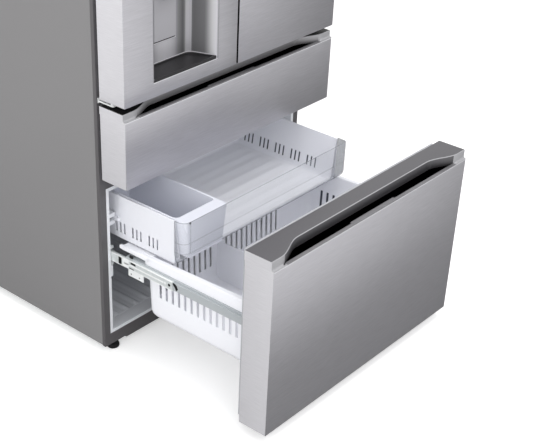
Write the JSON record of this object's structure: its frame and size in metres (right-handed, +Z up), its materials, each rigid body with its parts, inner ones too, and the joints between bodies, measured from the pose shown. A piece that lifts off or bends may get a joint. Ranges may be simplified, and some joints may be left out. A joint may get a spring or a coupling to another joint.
{
  "type": "bottom freezer refrigerator",
  "caption": "Free-standing refrigerator with side-by-side upper doors, a middle drawer and a bottom freezer drawer that stands open on telescopic slides, with slotted basket and sliding tray.",
  "frame": {"origin": "centre of the outline on the floor, with the freezer drawer standing open", "axes": "+Z up, +X to the right as seen from the front, the front faces -Y"},
  "size_m": [0.908, 1.3756, 1.784],
  "materials": {
    "side_paint": "satin grey paint with a fine texture",
    "frame_paint": "satin dark grey paint",
    "rear_steel": "plain coated sheet",
    "brushed_steel": "horizontally brushed, clear coated",
    "cap_plastic": "satin dark silver",
    "zinc_steel": "zinc plated",
    "white_liner": "satin",
    "grey_liner": "satin",
    "basket_white": "satin",
    "clear_plastic": "clear",
    "tray_clear": "clear, slightly smoked",
    "shelf_glass": "clear",
    "gasket": "matte",
    "black_plastic": "matte",
    "cover_plastic": "matte",
    "compressor_black": "black enamel",
    "dispenser_grey": "satin silver grey",
    "dispenser_dark": "satin"
  },
  "bodies": {
    "cabinet": {"cabinet_body": "side_paint", "front_frame": "frame_paint", "rear_panel": "rear_steel", "base_pan": "zinc_steel", "machine_cover": "black_plastic", "fridge_liner": "white_liner", "middle_liner": "white_liner", "freezer_liner": "white_liner", "compressor": "compressor_black", "fan_motor": "zinc_steel", "evaporator_cover": "grey_liner", "left_shelf": "shelf_glass", "right_shelf": "shelf_glass", "crisper_shelf": "shelf_glass", "left_crisper": "clear_plastic", "right_crisper": "clear_plastic", "left_top_hinge": "zinc_steel", "right_top_hinge": "zinc_steel", "left_hinge_cover": "cover_plastic", "right_hinge_cover": "cover_plastic", "left_middle_hinge": "zinc_steel", "right_middle_hinge": "zinc_steel", "left_fixed_slide": "zinc_steel", "right_fixed_slide": "zinc_steel", "left_middle_slide": "zinc_steel", "right_middle_slide": "zinc_steel"},
    "condenser_fan": {"condenser_fan": "black_plastic"},
    "left_foot": {"left_foot": "black_plastic"},
    "right_foot": {"right_foot": "black_plastic"},
    "left_roller": {"left_roller": "black_plastic"},
    "right_roller": {"right_roller": "black_plastic"},
    "left_door": {"left_door_panel": "brushed_steel", "left_door_liner": "white_liner", "left_door_gasket": "gasket", "dispenser_housing": "dispenser_grey", "dispenser_tray": "dispenser_dark", "left_door_bin_1": "clear_plastic", "left_door_bin_2": "clear_plastic"},
    "dispenser_paddle": {"dispenser_paddle": "dispenser_dark"},
    "mullion_flap": {"mullion_flap": "grey_liner"},
    "right_door": {"right_door_panel": "brushed_steel", "right_door_liner": "white_liner", "right_door_gasket": "gasket", "right_door_bin_1": "clear_plastic", "right_door_bin_2": "clear_plastic"},
    "middle_drawer": {"middle_drawer_front": "brushed_steel", "middle_handle_cap": "cap_plastic", "middle_gasket": "gasket", "middle_drawer_bin": "clear_plastic"},
    "freezer_drawer": {"freezer_drawer_front": "brushed_steel", "freezer_handle_cap": "cap_plastic", "freezer_gasket": "gasket", "freezer_basket": "basket_white", "left_drawer_runner": "zinc_steel", "right_drawer_runner": "zinc_steel"},
    "left_slide_member": {"left_slide_member": "zinc_steel"},
    "right_slide_member": {"right_slide_member": "zinc_steel"},
    "sliding_tray": {"upper_tray": "basket_white", "tray_front": "tray_clear", "ice_bin": "basket_white"}
  },
  "joints": [
    {"name": "left_door_hinge", "type": "hinge", "parent": "cabinet", "child": "left_door", "pos_m": [-0.44, -0.10155, 1.3], "axis": [0, 0, 1], "range_deg": [-130, 0]},
    {"name": "right_door_hinge", "type": "hinge", "parent": "cabinet", "child": "right_door", "pos_m": [0.44, -0.10155, 1.3], "axis": [0, 0, 1], "range_deg": [0, 130]},
    {"name": "mullion_flap_hinge", "type": "hinge", "parent": "left_door", "child": "mullion_flap", "pos_m": [-0.03, -0.04115, 1.3], "axis": [0, 0, 1], "range_deg": [-90, 0]},
    {"name": "dispenser_paddle_pivot", "type": "hinge", "parent": "left_door", "child": "dispenser_paddle", "pos_m": [-0.21475, -0.11155, 1.17], "axis": [1, 0, 0], "range_deg": [0, 9], "stiffness_Nm_per_rad": 0.3},
    {"name": "middle_drawer_slide", "type": "slide", "parent": "cabinet", "child": "middle_drawer", "axis": [0, -1, 0], "range_m": [0, 0.42]},
    {"name": "freezer_drawer_slide", "type": "slide", "parent": "cabinet", "child": "freezer_drawer", "axis": [0, -1, 0], "range_m": [-0.5263, 0]},
    {"name": "left_slide_member_slide", "type": "slide", "parent": "cabinet", "child": "left_slide_member", "axis": [0, -1, 0], "range_m": [-0.26315, 0]},
    {"name": "right_slide_member_slide", "type": "slide", "parent": "cabinet", "child": "right_slide_member", "axis": [0, -1, 0], "range_m": [-0.26315, 0]},
    {"name": "sliding_tray_slide", "type": "slide", "parent": "cabinet", "child": "sliding_tray", "axis": [0, -1, 0], "range_m": [-0.2737, 0]},
    {"name": "left_foot_screw", "type": "hinge", "parent": "cabinet", "child": "left_foot", "pos_m": [-0.4, -0.02955, 0.01], "axis": [0, 0, 1], "continuous": true},
    {"name": "right_foot_screw", "type": "hinge", "parent": "cabinet", "child": "right_foot", "pos_m": [0.4, -0.02955, 0.01], "axis": [0, 0, 1], "continuous": true},
    {"name": "left_roller_axle", "type": "hinge", "parent": "cabinet", "child": "left_roller", "pos_m": [-0.398, 0.61885, 0.025], "axis": [1, 0, 0], "continuous": true},
    {"name": "right_roller_axle", "type": "hinge", "parent": "cabinet", "child": "right_roller", "pos_m": [0.398, 0.61885, 0.025], "axis": [1, 0, 0], "continuous": true},
    {"name": "condenser_fan_shaft", "type": "hinge", "parent": "cabinet", "child": "condenser_fan", "pos_m": [0.028, 0.57285, 0.133], "axis": [1, 0, 0], "continuous": true}
  ],
  "couplings": [
    {"joint": "left_slide_member_slide", "follows": "freezer_drawer_slide", "ratio": 0.5},
    {"joint": "right_slide_member_slide", "follows": "freezer_drawer_slide", "ratio": 0.5},
    {"joint": "sliding_tray_slide", "follows": "freezer_drawer_slide", "ratio": 0.52}
  ]
}
